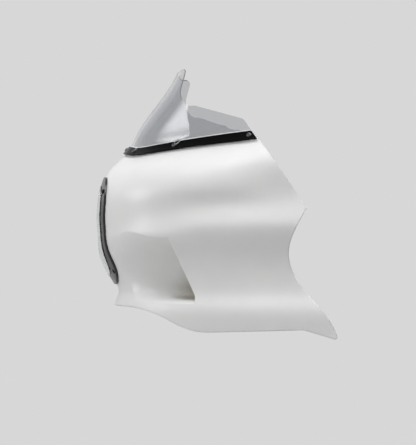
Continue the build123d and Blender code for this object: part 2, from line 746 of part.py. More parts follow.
def fairing_stay():
    """Welded steel stay: mounting plate, four bent bars and the tabs that sit on the studs."""
    stay = extrude(RectangleRounded(PLATE_LENGTH, PLATE_WIDTH, PLATE_CORNER_R), PLATE_THICK)
    for spot in GridLocations(MOUNT_SPACING_X, MOUNT_SPACING_Y, 2, 2):
        stay = stay - spot * Cylinder(MOUNT_HOLE_R, 4 * PLATE_THICK)
    tabs = stud_seats(stay_levels()[1] - TAB_THICK / 2)
    for seat in tabs:
        side = math.copysign(1, seat.origin.Y)
        upper = seat.origin.Z > LAMP_Z
        start = Vector(MOUNT_SPACING_X / 4 * (-1 if upper else 1), 0, PLATE_THICK + BAR_R - BAR_SINK)
        foot = seat.origin + seat.y_dir * (TAB_R + BAR_R)
        route = [start, start + Vector(0, side * PLATE_WIDTH / 2, 0), foot]
        if upper:
            route.insert(2, foot + seat.y_dir * BAR_RISE - Vector(0, side * BAR_LEAN, 0))
        tongue = Pos(0, (TAB_R + BAR_R) / 2, 0) * Box(2 * BAR_R, TAB_R + BAR_R, TAB_THICK)
        stay = stay + [bar(route), seat * (tongue + Cylinder(TAB_R, TAB_THICK))]
    return drilled(stay, tabs, TAB_HOLE_R, TAB_THICK)


def screen_fasteners():
    """Screws, washers and nuts along the windshield trim."""
    washer_top = -WALL - SEAT_GAP
    nut_top = washer_top - WASHER_THICK - FIT / 2
    grip = trim_lift() + HEAD_LIFT - nut_top + NUT_H
    washer = Pos(0, 0, -WASHER_THICK) * ring(WASHER_R, SCREW_R + FIT / 2, WASHER_THICK)
    nut = Pos(0, 0, -NUT_H) * hex_nut(NUT_R, SCREW_R + FIT / 2, NUT_H)
    return {
        "windshield_screws": at_seats(screen_seats(trim_lift() + HEAD_LIFT), button_screw(grip)),
        "windshield_washers": at_seats(screen_seats(washer_top), washer),
        "windshield_nuts": at_seats(screen_seats(nut_top), nut),
    }


def bezel_fasteners():
    """Screws of the bezel and the brass inserts they turn into."""
    insert_top = HOUSING_FRONT - INSERT_SINK
    lift = bezel_lift() + HEAD_LIFT
    insert = Pos(0, 0, -LUG_LENGTH) * ring(INSERT_R, SCREW_R + FIT / 2, LUG_LENGTH)
    return {
        "bezel_screws": at_seats(bezel_seats(lift), button_screw(lift - insert_top + 0.8 * LUG_LENGTH)),
        "bezel_inserts": at_seats(bezel_seats(insert_top), insert),
    }


HULL = Skin(hull_points)
SCOOP = Skin(scoop_points)


def main():
    """Build every piece and write it to its own file."""
    pieces = {
        "fairing_shell": fairing_shell(),
        "windshield": windshield(),
        "windshield_trim": windshield_trim(),
        **screen_fasteners(),
        "headlight_bezel": headlight_bezel(),
        **bezel_fasteners(),
        "headlight_lens": headlight_lens(),
        "lens_gasket": lens_gasket(),
        "headlight_housing": headlight_housing(),
        "headlight_reflector": headlight_reflector(),
        "headlight_bulb": headlight_bulb(),
        "bulb_base": bulb_base(),
        "bulb_terminals": bulb_terminals(),
        "bulb_boot": bulb_boot(),
        "fairing_stay": fairing_stay(),
        "stud_pads": stud_pads(),
        "shell_studs": shell_studs(),
        "stud_grommets": stud_grommets(),
        "stud_washers": stud_washers(),
        "stud_nuts": stud_nuts(),
    }
    os.makedirs("parts", exist_ok=True)
    for name, piece in pieces.items():
        group = piece if isinstance(piece, list) else [piece]
        solids = [solid for item in group for solid in item.solids()]
        export_step(Compound(children=solids) if len(solids) > 1 else solids[0], f"parts/{name}.step")


if __name__ == "__main__":
    main()
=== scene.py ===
"""Studio scene of a motorcycle half fairing with its smoked windshield and nose headlight.

Every piece is in metres, in the frame of the stay's mounting plate: X to the rear, Y to the
right, Z up.
"""

import json
import logging
import math
from dataclasses import dataclass, field
from enum import Enum
from typing import Any, Optional, Union

import bmesh
import bpy
import numpy as np
from mathutils import Euler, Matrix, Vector

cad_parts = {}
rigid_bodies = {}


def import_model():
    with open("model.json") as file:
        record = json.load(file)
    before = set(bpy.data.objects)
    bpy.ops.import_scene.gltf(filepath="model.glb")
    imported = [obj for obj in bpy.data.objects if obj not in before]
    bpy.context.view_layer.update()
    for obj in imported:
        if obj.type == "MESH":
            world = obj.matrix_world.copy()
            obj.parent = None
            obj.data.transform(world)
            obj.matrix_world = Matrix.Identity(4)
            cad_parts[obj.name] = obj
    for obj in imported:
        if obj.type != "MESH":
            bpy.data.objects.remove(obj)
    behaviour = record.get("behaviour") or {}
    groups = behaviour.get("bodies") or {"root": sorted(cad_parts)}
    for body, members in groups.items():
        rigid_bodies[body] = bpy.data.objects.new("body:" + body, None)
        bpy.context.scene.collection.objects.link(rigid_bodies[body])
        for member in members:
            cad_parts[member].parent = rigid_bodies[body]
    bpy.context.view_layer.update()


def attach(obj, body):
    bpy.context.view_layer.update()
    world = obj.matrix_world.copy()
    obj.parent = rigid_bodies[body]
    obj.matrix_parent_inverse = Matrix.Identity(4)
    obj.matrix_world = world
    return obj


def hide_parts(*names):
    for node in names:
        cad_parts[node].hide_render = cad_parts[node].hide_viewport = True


LOG = logging.getLogger("fairing")
BODY = "root"
WHITE = "#FFFFFF"
MM = 0.001  # metres in a millimetre
WELD = 1e-6  # points closer than this, in metres, are one point
NOISE_RANGE = (0.3, 0.7)  # nearly all values of a noise texture lie in here
WAVE_TURN = math.tau / 20  # units between the crests of a wave texture at scale 1
FIRST_COLOUR, SECOND_COLOUR, MIXED_COLOUR = 6, 7, 2  # the mix node's sockets for colours

Socket = bpy.types.NodeSocket
Inputs = dict[Union[str, int], Any]
Colour = tuple[float, float, float, float]
Place = tuple[float, float, float]


def linear(code: str) -> Colour:
    """Turn an sRGB hex value into a linear colour.

    Args:
        code: Six hex digits after a hash sign.

    Returns:
        Red, green, blue and full alpha.
    """
    shares = [int(code[start:start + 2], 16) / 255 for start in (1, 3, 5)]
    red, green, blue = (s / 12.92 if s <= 0.04045 else ((s + 0.055) / 1.055) ** 2.4 for s in shares)
    return red, green, blue, 1.0


def add_node(
    tree: bpy.types.NodeTree,
    kind: str,
    inputs: Optional[Inputs] = None,
    **settings: Any,
) -> bpy.types.Node:
    """Add one node with its settings, values and links.

    Args:
        tree: Node tree that gets the node.
        kind: Blender's name of the node type.
        inputs: Value, socket or list of sockets for each named or numbered input.
        settings: Properties of the node.

    Returns:
        The new node.
    """
    node = tree.nodes.new(kind)
    for name, value in settings.items():
        setattr(node, name, value)
    for name, value in (inputs or {}).items():
        sources = value if isinstance(value, list) else [value]
        for source in sources:
            if isinstance(source, Socket):
                tree.links.new(source, node.inputs[name])
            else:
                node.inputs[name].default_value = source
    return node


def blend(
    tree: bpy.types.NodeTree,
    share: Socket,
    first: Union[Socket, Colour],
    second: Union[Socket, Colour],
) -> Socket:
    """Mix two colours.

    Args:
        tree: Node tree that gets the mix.
        share: Share of the second colour.
        first: First colour.
        second: Second colour.

    Returns:
        The mixed colour.
    """
    inputs = {"Factor": share, FIRST_COLOUR: first, SECOND_COLOUR: second}
    return add_node(tree, "ShaderNodeMix", inputs, data_type="RGBA").outputs[MIXED_COLOUR]


def remap(
    tree: bpy.types.NodeTree,
    value: Socket,
    source: tuple[float, float],
    target: tuple[float, float],
    curve: str = "LINEAR",
) -> Socket:
    """Map one range of values onto another.

    Args:
        tree: Node tree that gets the map.
        value: What is mapped.
        source: Where the range starts and ends.
        target: What the two ends become.
        curve: Blender's name of the way between them.

    Returns:
        The mapped value.
    """
    ends = dict(zip(("From Min", "From Max", "To Min", "To Max"), (*source, *target)))
    inputs = {"Value": value, **ends}
    return add_node(tree, "ShaderNodeMapRange", inputs, interpolation_type=curve).outputs[0]


@dataclass(frozen=True)
class Finish:
    """A surface as it was made: two close tones, a gloss range and the texture it was left with.

    Attributes:
        name: Plain name of the material.
        tone: Main colour as an sRGB hex value.
        shade: Colour of its faint patches.
        gloss: Lowest and highest roughness.
        mottle: Size of the patches in millimetres.
        grain: Size of the surface texture in millimetres.
        relief: Height of that texture in millimetres.
        edge: Radius that a cut edge shows, in millimetres.
        metallic: 1 for bare metal.
        ior: Index of refraction, left at the default on metal.
        specular: Level of the plain reflection.
        painted_shade: Colour of the painted shade in deep corners, if any.
        reach: How far from a corner it spreads, in millimetres.
        nook: Openness of a corner that gets the full painted shade, and of one that gets none.
        samples: Number of rays that look for edges, and of those that look for corners.
    """

    name: str
    tone: str
    shade: str
    gloss: tuple[float, float]
    mottle: float
    grain: float
    relief: float
    edge: float = 0.0
    metallic: float = 0.0
    ior: float = 1.5
    specular: float = 0.5
    painted_shade: str = ""
    reach: float = 60.0
    nook: tuple[float, float] = (0.35, 0.6)
    samples: tuple[int, int] = (4, 8)

    def material(self) -> bpy.types.Material:
        """Build the node material.

        Returns:
            The material, ready for a slot.
        """
        made = bpy.data.materials.new(self.name)
        made.use_nodes = True
        tree = made.node_tree
        tree.nodes.clear()
        place = add_node(tree, "ShaderNodeTexCoord").outputs["Object"]
        add_node(tree, "ShaderNodeOutputMaterial", {"Surface": self.surface(tree, place)})
        return made

    def noise(self, tree: bpy.types.NodeTree, place: Socket, size: float) -> Socket:
        """Add soft noise with patches of a real size.

        Args:
            tree: Node tree of the material.
            place: Object coordinates.
            size: Patch size in millimetres.

        Returns:
            Height of the noise from 0 to 1.
        """
        inputs = {"Vector": place, "Scale": 1 / (size * MM)}
        return add_node(tree, "ShaderNodeTexNoise", inputs).outputs[0]

    def pattern(self, tree: bpy.types.NodeTree, place: Socket) -> tuple[Socket, Socket]:
        """Give the pattern of the tones and the height of the texture."""
        return self.noise(tree, place, self.mottle), self.noise(tree, place, self.grain)

    def surface(self, tree: bpy.types.NodeTree, place: Socket) -> Socket:
        """Add the shader.

        Args:
            tree: Node tree of the material.
            place: Object coordinates.

        Returns:
            The shader's output.
        """
        patches, height = self.pattern(tree, place)
        colour = blend(tree, patches, linear(self.tone), linear(self.shade))
        # Painted shade: the colour darkens in the deep corners of the surface
        if self.painted_shade:
            colour = self.paint_corner_shade(tree, colour)
        bump = {"Height": height, "Distance": self.relief * MM}
        if self.edge:
            radius = {"Radius": self.edge * MM}
            rounded = add_node(tree, "ShaderNodeBevel", radius, samples=self.samples[0])
            bump["Normal"] = rounded.outputs[0]
        shader = {
            "Base Color": colour,
            "Metallic": self.metallic,
            "Roughness": remap(tree, patches, NOISE_RANGE, self.gloss),
            "IOR": self.ior,
            "Specular IOR Level": self.specular,
            "Normal": add_node(tree, "ShaderNodeBump", bump).outputs[0],
        }
        return add_node(tree, "ShaderNodeBsdfPrincipled", shader).outputs[0]

    def paint_corner_shade(self, tree: bpy.types.NodeTree, colour: Socket) -> Socket:
        """Paint shade into the colour where the surface closes in on itself.

        Args:
            tree: Node tree of the material.
            colour: Colour before the painted shade.

        Returns:
            The colour with its painted shade.
        """
        inputs = {"Distance": self.reach * MM}
        settings = {"samples": self.samples[1], "only_local": True}
        # Painted shade: the part's own ambient occlusion sets how dark a corner is painted
        openness = add_node(tree, "ShaderNodeAmbientOcclusion", inputs, **settings).outputs["AO"]
        share = remap(tree, openness, self.nook, (1.0, 0.0), "SMOOTHSTEP")
        return blend(tree, share, colour, linear(self.painted_shade))


@dataclass(frozen=True)
class WovenLaminate(Finish):
    """Cured glass cloth: two families of threads at right angles show through the resin.

    Attributes:
        thread: Distance between two threads in millimetres.
        wander: How far the threads stray from straight lines.
    """

    thread: float = 6.0
    wander: float = 0.6

    def pattern(self, tree: bpy.types.NodeTree, place: Socket) -> tuple[Socket, Socket]:
        """Give the crossing threads for both the tones and the height."""
        scale = WAVE_TURN / (self.thread * MM)
        inputs = {"Vector": place, "Scale": scale, "Distortion": self.wander}
        bands = {}
        for index, direction in enumerate(("X", "Z")):
            wave = add_node(tree, "ShaderNodeTexWave", inputs, bands_direction=direction)
            bands[index] = wave.outputs["Fac"]
        weave = add_node(tree, "ShaderNodeMath", bands, operation="MULTIPLY").outputs[0]
        return weave, weave


@dataclass(frozen=True)
class ClearSheet(Finish):
    """Formed clear or tinted plastic that lets the lamps shine through."""

    def surface(self, tree: bpy.types.NodeTree, place: Socket) -> Socket:
        """Add the see-through shader, with plain tint for the light of the lamps.

        Args:
            tree: Node tree of the material.
            place: Object coordinates.

        Returns:
            The shader's output.
        """
        haze = self.noise(tree, place, self.mottle)
        shader = {
            "Base Color": linear(self.tone),
            "Roughness": remap(tree, haze, NOISE_RANGE, self.gloss),
            "IOR": self.ior,
            "Transmission Weight": 1.0,
        }
        sheet = add_node(tree, "ShaderNodeBsdfPrincipled", shader).outputs[0]
        tinted = {"Color": linear(self.shade)}
        tint = add_node(tree, "ShaderNodeBsdfTransparent", tinted).outputs[0]
        lamp = add_node(tree, "ShaderNodeLightPath").outputs["Is Shadow Ray"]
        return add_node(tree, "ShaderNodeMixShader", {0: lamp, 1: sheet, 2: tint}).outputs[0]


# White gel coat, sprayed in a polished mould: satin, with a faint ripple and painted shade in deep
# corners
GEL_COAT = Finish(
    "white_gel_coat", "#EFEFEE", "#E9E9E9", (0.3, 0.4), 45, 5, 0.02, 4.0, ior=1.52, painted_shade="#AEACA0"
)
# Glass cloth laid up by hand: dull off-white threads under a thin film of resin
LAMINATE = WovenLaminate(
    "glass_cloth_laminate", "#CFCEC6", "#E2E1DA", (0.42, 0.6), 40, 4, 0.25, ior=1.55
)
# Light smoke acrylic, drape formed: clear, with a faint haze from handling
SMOKE_ACRYLIC = ClearSheet(
    "smoke_acrylic", "#D4D5D8", "#E9EAEC", (0.01, 0.05), 30, 5, 0.0, ior=1.49
)
# Clear polycarbonate, injection moulded: glassy and nearly free of colour
CLEAR_POLYCARBONATE = ClearSheet(
    "clear_polycarbonate", "#F4F7F8", "#FAFBFC", (0.0, 0.03), 25, 5, 0.0, ior=1.58
)
# Clear lamp glass: a thin sparkle in front of the bowl
LAMP_GLASS = ClearSheet(
    "lamp_glass", "#FAFBFB", "#FCFDFD", (0.0, 0.02), 8, 5, 0.0, ior=1.47
)
# Gloss black ABS, extruded: deep black with weak, clear reflections
GLOSS_ABS = Finish(
    "gloss_black_abs", "#070708", "#0A0A0B", (0.1, 0.2), 14, 6, 0.012, edge=0.8, specular=0.04
)
# Satin black ABS, injection moulded: soft grey sheen on the rounded ring
SATIN_ABS = Finish("satin_black_abs", "#0C0C0D", "#111112", (0.2, 0.3), 14, 6, 0.012, edge=0.8)
# Black polypropylene from a spark-eroded mould: fine matte grain
MATTE_PLASTIC = Finish(
    "black_polypropylene", "#1B1B1C", "#222223", (0.5, 0.62), 9, 1.2, 0.06, edge=0.6
)
# Black oxide on socket screws: dark, with a soft oily sheen
BLACK_OXIDE = Finish(
    "black_oxide_steel", "#26262A", "#1B1B1C", (0.28, 0.42), 3, 0.8, 0.01, edge=0.2, metallic=1.0
)
# Black oxide worn off by keys and weather: grey steel shows through
WORN_OXIDE = Finish(
    "worn_oxide_steel", "#5E5F63", "#4A4B4F", (0.24, 0.38), 3, 0.8, 0.01, edge=0.2, metallic=1.0
)
# Zinc-plated steel: pale grey with dull patches from the bath
ZINC_PLATE = Finish(
    "zinc_plated_steel", "#C9CBCE", "#AEB2B7", (0.24, 0.42), 5, 0.9, 0.012, edge=0.2, metallic=1.0
)
# Turned brass: warm, with the fine marks of the tool
BRASS = Finish(
    "turned_brass", "#C8A45B", "#B08C46", (0.22, 0.36), 3, 0.7, 0.012, edge=0.15, metallic=1.0
)
# Vapour-coated aluminium on the reflector: a near mirror
MIRROR_COAT = Finish(
    "aluminised_bowl", "#E9EBEC", "#DFE2E4", (0.04, 0.09), 18, 12, 0.01, metallic=1.0
)
# Moulded rubber: dull black with a dusty bloom
RUBBER = Finish("moulded_rubber", "#1A1A1A", "#272726", (0.66, 0.84), 6, 0.9, 0.04, edge=0.5)
# Satin powder coat on steel: black, with a fine orange peel
POWDER_COAT = Finish(
    "satin_powder_coat", "#17171A", "#1E1E20", (0.36, 0.48), 12, 1.6, 0.05, edge=0.8
)
# White bead along the trim's upper edge: a painted highlight line, shaped like smoothed silicone
# sealant, with a soft sheen
PAINTED_HIGHLIGHT_BEAD = Finish("silicone_sealant", "#E4E5E6", "#DADBDC", (0.3, 0.42), 8, 3, 0.03)
# Grey structural adhesive, pressed out by hand: lumpy and half dull
ADHESIVE = Finish(
    "structural_adhesive", "#A9A79D", "#989689", (0.4, 0.6), 6, 4, 0.35, edge=1.0
)


def dress(node: str, material: bpy.types.Material) -> bpy.types.Object:
    """Give a CAD node its finish.

    Args:
        node: Name of the node.
        material: The finish.

    Returns:
        The node's object.
    """
    piece = bpy.data.objects[node]
    piece.data.materials.clear()
    piece.data.materials.append(material)
    LOG.info("%s is dressed in %s", node, material.name)
    return piece


def add_piece(name: str, mesh: bpy.types.Mesh, slot: str, *nodes: str) -> bpy.types.Object:
    """Add a finished mesh as a piece that stands for CAD nodes.

    Args:
        name: Name of the piece.
        mesh: Its mesh, with its place and materials.
        slot: The record's material slot; not used.
        nodes: CAD nodes that it stands for.

    Returns:
        The piece.
    """
    piece = bpy.data.objects.new(name, mesh)
    bpy.context.scene.collection.objects.link(piece)
    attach(piece, BODY)
    if nodes:
        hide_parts(*nodes)
    LOG.info("%s has %d faces", name, len(mesh.polygons))
    return piece


def welded(mesh: bpy.types.Mesh) -> bmesh.types.BMesh:
    """Open a copy of a mesh with its doubled points merged.

    Args:
        mesh: The mesh, which stays as it is.

    Returns:
        The open copy, to be freed after use.
    """
    form = bmesh.new()
    form.from_mesh(mesh)
    bmesh.ops.remove_doubles(form, verts=form.verts, dist=WELD)
    return form


def solids_of(node: str) -> list[np.ndarray]:
    """Split a CAD node into its separate solids.

    Args:
        node: Name of the node.

    Returns:
        Corner points of each solid.
    """
    form = welded(bpy.data.objects[node].data)
    left = dict.fromkeys(form.verts)
    groups = []
    while left:
        reached = [left.popitem()[0]]
        for corner in reached:
            around = [edge.other_vert(corner) for edge in corner.link_edges]
            fresh = [other for other in around if other in left]
            for other in fresh:
                del left[other]
            reached.extend(fresh)
        groups.append(np.array([corner.co for corner in reached]))
    form.free()
    return groups


def merged_copy(node: str) -> bpy.types.Mesh:
    """Copy a CAD node's mesh with its doubled points merged and its smooth normals kept.

    Args:
        node: Name of the node.

    Returns:
        The copy.
    """
    mesh = bpy.data.objects[node].data.copy()
    normals = np.empty(3 * len(mesh.loops), np.float32)
    mesh.corner_normals.foreach_get("vector", normals)
    kept = mesh.attributes.new("smooth_normal", "FLOAT_VECTOR", "CORNER")
    kept.data.foreach_set("vector", normals)
    form = welded(mesh)
    form.to_mesh(mesh)
    form.free()
    normals = np.empty(3 * len(mesh.loops), np.float32)
    kept = mesh.attributes["smooth_normal"]
    kept.data.foreach_get("vector", normals)
    mesh.attributes.remove(kept)
    mesh.normals_split_custom_set(normals.reshape(-1, 3))
    return mesh


# Sizes of an M5 button-head screw in millimetres
M5_BUTTON_SCREW = {"Radius": 5.25, "Height": 2.8, "Socket": 1.8, "Shank": 2.3, "Pitch": 0.8}
HEAD_START = 0.8  # share of a screw's full radius where its head starts


@dataclass(frozen=True)
class Seat:
    """Where a fastener sits.

    Attributes:
        place: Middle of the face that it bears on.
        axis: Direction out of the part.
    """

    place: Vector
    axis: Vector

    def height(self, point: np.ndarray) -> float:
        """Give the height of a point over the seat, in metres."""
        return (Vector(point) - self.place).dot(self.axis)

    def stem(self, points: np.ndarray) -> float:
        """Give how far a fastener's points reach below the seat, in millimetres."""
        return -min(self.height(point) for point in points) / MM


def screw_seat(points: np.ndarray) -> Seat:
    """Find where the head of a screw sits and which way it faces.

    Args:
        points: Corner points of the screw's solid.

    Returns:
        Seat at the middle of the head's underside.
    """
    middle = points.mean(axis=0)
    rows = np.linalg.svd(points - middle, full_matrices=False)[2]
    places = (points - middle) @ rows.T
    centre = (places.min(axis=0) + places.max(axis=0)) / 2
    spread = np.linalg.norm(places[:, 1:] - centre[1:], axis=1)
    head = places[spread > HEAD_START * spread.max(), 0]
    outward = 1.0 if head.mean() > centre[0] else -1.0
    centre[0] = (head * outward).min() * outward
    return Seat(Vector(middle + centre @ rows), Vector(rows[0] * outward))


def nut_seat(points: np.ndarray, screws: list[Seat]) -> Seat:
    """Find the upper face of a nut on the nearest screw.

    Args:
        points: Corner points of the nut's solid.
        screws: Seats of the screws.

    Returns:
        Seat on the nut's upper face.
    """
    middle = Vector(points.mean(axis=0))
    screw = min(screws, key=lambda seat: (seat.place - middle).length)
    top = max(screw.height(point) for point in points)
    return Seat(screw.place + screw.axis * top, screw.axis)


class Fastener(Enum):
    """Kinds of fastener that hold the fairing together."""

    BUTTON_SCREW = "button_screw"
    LOCK_NUT = "lock_nut"


class PartTree:
    """Geometry Nodes tree with named sizes, which turns a carrier mesh into a finished piece.

    Args:
        name: Name of the tree.
        sizes: Names of its sizes.
    """

    def __init__(self, name: str, sizes: tuple[str, ...]) -> None:
        self.tree = bpy.data.node_groups.new(name, "GeometryNodeTree")
        self.ids: dict[str, str] = {}
        self.input("Carrier", "NodeSocketGeometry")
        for size in sizes:
            self.input(size, "NodeSocketFloat")
        self.input("Material", "NodeSocketMaterial")
        self.tree.interface.new_socket("Piece", in_out="OUTPUT", socket_type="NodeSocketGeometry")
        self.given = self.add("NodeGroupInput").outputs

    def input(self, name: str, kind: str) -> None:
        """Add a named input and keep its identifier."""
        socket = self.tree.interface.new_socket(name, in_out="INPUT", socket_type=kind)
        self.ids[name] = socket.identifier

    def add(self, kind: str, inputs: Optional[Inputs] = None, **settings: Any) -> bpy.types.Node:
        """Add a node to the tree."""
        return add_node(self.tree, kind, inputs, **settings)

    def times(self, name: str, share: float) -> Socket:
        """Give a share of a named input."""
        inputs = {0: self.given[name], 1: share}
        return self.add("ShaderNodeMath", inputs, operation="MULTIPLY").outputs[0]

    def creased(self, form: Socket, limit: float = 30.0) -> Socket:
        """Shade a form smooth except over its sharp edges.

        Args:
            form: The form.
            limit: Angle in degrees over which an edge is sharp.

        Returns:
            The shaded form.
        """
        angle = self.add("GeometryNodeInputMeshEdgeAngle").outputs["Unsigned Angle"]
        angles = {0: angle, 1: math.radians(limit)}
        sharp = self.add("FunctionNodeCompare", angles, operation="GREATER_THAN")
        faces = {0: form, "Shade Smooth": True}
        smooth = self.add("GeometryNodeSetShadeSmooth", faces, domain="FACE")
        edges = {0: smooth.outputs[0], "Selection": sharp.outputs[0], "Shade Smooth": False}
        return self.add("GeometryNodeSetShadeSmooth", edges, domain="EDGE").outputs[0]

    def finish(self, form: Socket) -> None:
        """Make the instances real, give them their finish and hand them out.

        Args:
            form: What the tree made.
        """
        real = self.add("GeometryNodeRealizeInstances", {0: form}).outputs[0]
        coated = {"Geometry": real, "Material": self.given["Material"]}
        self.add("NodeGroupOutput", {0: self.add("GeometryNodeSetMaterial", coated).outputs[0]})

    def run(
        self, carrier: bpy.types.Mesh, sizes: dict[str, float], finish: Finish
    ) -> bpy.types.Mesh:
        """Put the tree on a carrier and take what it makes as a plain mesh.

        Args:
            carrier: Mesh that the tree starts from.
            sizes: Its sizes in millimetres.
            finish: Finish of the piece.

        Returns:
            The mesh, with its finish.
        """
        holder = bpy.data.objects.new(carrier.name, carrier)
        bpy.context.scene.collection.objects.link(holder)
        modifier = holder.modifiers.new(self.tree.name, "NODES")
        modifier.node_group = self.tree
        for name, size in sizes.items():
            modifier[self.ids[name]] = size * MM
        modifier[self.ids["Material"]] = finish.material()
        graph = bpy.context.evaluated_depsgraph_get()
        mesh = bpy.data.meshes.new_from_object(holder.evaluated_get(graph))
        holder.modifiers.remove(modifier)
        bpy.data.objects.remove(holder)
        return mesh


class BeadTree(PartTree):
    """Tree that runs a round bead along a path."""

    SIDES = 16
    CREASE = 60.0  # degrees

    def __init__(self) -> None:
        super().__init__("bead", ("Radius", "Step"))
        line = self.add("GeometryNodeMeshToCurve", {0: self.given["Carrier"]}).outputs[0]
        even = {"Curve": line, "Length": self.given["Step"]}
        line = self.add("GeometryNodeResampleCurve", even, mode="LENGTH").outputs[0]
        ring = {"Resolution": self.SIDES, "Radius": self.given["Radius"]}
        profile = self.add("GeometryNodeCurvePrimitiveCircle", ring).outputs[0]
        swept = {"Curve": line, "Profile Curve": profile, "Fill Caps": True}
        bead = self.add("GeometryNodeCurveToMesh", swept).outputs[0]
        self.finish(self.creased(bead, self.CREASE))


class FastenerTree(PartTree):
    """Tree that sets one kind of fastener on points, along their axes.

    Args:
        kind: Which fastener the tree makes.
    """

    HEXAGON = 6
    ROUND = 48  # sides of a head
    RINGS = 24  # rings of a dome
    SHANK_SIDES = 32
    THREAD_STEPS = 20  # steps in one turn
    THREAD_SIDES = 3
    THREAD_RADIUS = 0.4  # share of the pitch
    DOME_RISE = 1.08  # share of the head's height, which leaves a small flat top
    HEAD_RIM = 0.985  # share of the head's radius, which leaves a small upright rim
    CORNER_REACH = 1.02  # share of the nut's radius that its rounded corners keep
    CORNER_RISE = 1.5  # share of the nut's height

    def __init__(self, kind: Fastener) -> None:
        super().__init__(kind.value, ("Radius", "Height", "Socket", "Shank", "Length", "Pitch"))
        makers = {Fastener.BUTTON_SCREW: self.button_screw, Fastener.LOCK_NUT: self.lock_nut}
        label = {"Name": "axis"}
        axis = self.add("GeometryNodeInputNamedAttribute", label, data_type="FLOAT_VECTOR")
        turn = self.add("FunctionNodeAlignRotationToVector", {"Vector": axis.outputs[0]}, axis="Z")
        spread = {
            "Points": self.given["Carrier"],
            "Instance": self.creased(makers[kind]()),
            "Rotation": turn.outputs[0],
        }
        self.finish(self.add("GeometryNodeInstanceOnPoints", spread).outputs[0])

    def prism(self, sides: int, radius: Socket, depth: Socket, lift: Socket) -> Socket:
        """Add an upright prism.

        Args:
            sides: Number of its sides.
            radius: Radius over its corners.
            depth: Height of the prism.
            lift: Height of its middle.

        Returns:
            The prism.
        """
        inputs = {"Vertices": sides, "Radius": radius, "Depth": depth}
        body = self.add("GeometryNodeMeshCylinder", inputs).outputs["Mesh"]
        shift = self.add("ShaderNodeCombineXYZ", {"Z": lift}).outputs[0]
        lifted = {"Geometry": body, "Translation": shift}
        return self.add("GeometryNodeTransform", lifted).outputs[0]

    def dome(self, wide: Socket, tall: Socket) -> Socket:
        """Add an ellipsoid about the origin.

        Args:
            wide: Its radius across.
            tall: Its radius upwards.

        Returns:
            The ellipsoid.
        """
        unit = {"Segments": self.ROUND, "Rings": self.RINGS, "Radius": 1.0}
        ball = self.add("GeometryNodeMeshUVSphere", unit)
        scale = self.add("ShaderNodeCombineXYZ", {"X": wide, "Y": wide, "Z": tall}).outputs[0]
        inputs = {"Geometry": ball.outputs["Mesh"], "Scale": scale}
        return self.add("GeometryNodeTransform", inputs).outputs[0]

    def common(self, first: Socket, second: Socket) -> Socket:
        """Give what two bodies share."""
        inputs = {1: [first, second]}
        return self.add("GeometryNodeMeshBoolean", inputs, operation="INTERSECT").outputs["Mesh"]

    def less(self, body: Socket, tool: Socket) -> Socket:
        """Cut a tool out of a body."""
        inputs = {0: body, 1: tool}
        return self.add("GeometryNodeMeshBoolean", inputs, operation="DIFFERENCE").outputs["Mesh"]

    def thread(self) -> Socket:
        """Add the thread round the shank: a ridge along a helix from the tip up."""
        ratio = {0: self.given["Length"], 1: self.given["Pitch"]}
        turns = self.add("ShaderNodeMath", ratio, operation="DIVIDE").outputs[0]
        helix = {
            "Resolution": self.THREAD_STEPS,
            "Rotations": turns,
            "Start Radius": self.given["Shank"],
            "End Radius": self.given["Shank"],
            "Height": self.given["Length"],
        }
        line = self.add("GeometryNodeCurveSpiral", helix).outputs[0]
        ridge = {
            "Resolution": self.THREAD_SIDES,
            "Radius": self.times("Pitch", self.THREAD_RADIUS),
        }
        profile = self.add("GeometryNodeCurvePrimitiveCircle", ridge).outputs[0]
        swept = {"Curve": line, "Profile Curve": profile, "Fill Caps": True}
        body = self.add("GeometryNodeCurveToMesh", swept).outputs[0]
        drop = self.add("ShaderNodeCombineXYZ", {"Z": self.times("Length", -1.0)}).outputs[0]
        return self.add("GeometryNodeTransform", {"Geometry": body, "Translation": drop}).outputs[0]

    def button_screw(self) -> Socket:
        """Make a button-head screw with a hexagon socket, its head's underside at zero height."""
        height, length = self.given["Height"], self.given["Length"]
        round_top = self.dome(self.given["Radius"], self.times("Height", self.DOME_RISE))
        rim = self.times("Radius", self.HEAD_RIM)
        band = self.prism(self.ROUND, rim, height, self.times("Height", 0.5))
        key = self.prism(self.HEXAGON, self.given["Socket"], height, height)
        head = self.less(self.common(round_top, band), key)
        middle = self.times("Length", -0.5)
        shank = self.prism(self.SHANK_SIDES, self.given["Shank"], length, middle)
        return self.add("GeometryNodeJoinGeometry", {0: [head, shank, self.thread()]}).outputs[0]

    def lock_nut(self) -> Socket:
        """Make a hexagon nut with rounded corners, lying below zero height."""
        middle = self.times("Height", -0.5)
        block = self.prism(self.HEXAGON, self.given["Radius"], self.given["Height"], middle)
        rise = self.times("Height", self.CORNER_RISE)
        ball = self.dome(self.times("Radius", self.CORNER_REACH), rise)
        shift = self.add("ShaderNodeCombineXYZ", {"Z": middle}).outputs[0]
        lowered = {"Geometry": ball, "Translation": shift}
        ball = self.add("GeometryNodeTransform", lowered).outputs[0]
        bore = self.prism(self.SHANK_SIDES, self.given["Shank"], self.given["Length"], middle)
        return self.less(self.common(block, ball), bore)


@dataclass
class FastenerSet:
    """Fasteners of one kind on the places of their CAD solids.

    Attributes:
        node: CAD node that they stand for.
        kind: Which fastener.
        finish: Their finish.
        slot: The record's material slot.
        sizes: Radius, height, socket, shank, length and pitch in millimetres.
    """

    node: str
    kind: Fastener
    finish: Finish
    slot: str
    sizes: dict[str, float]

    def build(self, seats: list[Seat]) -> bpy.types.Object:
        """Set the fasteners and turn them into one plain mesh.

        Args:
            seats: Seat of each fastener.

        Returns:
            The piece.
        """
        points = bpy.data.meshes.new(self.node + "_points")
        points.from_pydata([seat.place for seat in seats], [], [])
        axes = points.attributes.new("axis", "FLOAT_VECTOR", "POINT")
        along = np.array([seat.axis for seat in seats], np.float32)
        axes.data.foreach_set("vector", along.ravel())
        mesh = FastenerTree(self.kind).run(points, self.sizes, self.finish)
        return add_piece(self.node + "_set", mesh, self.slot, self.node)


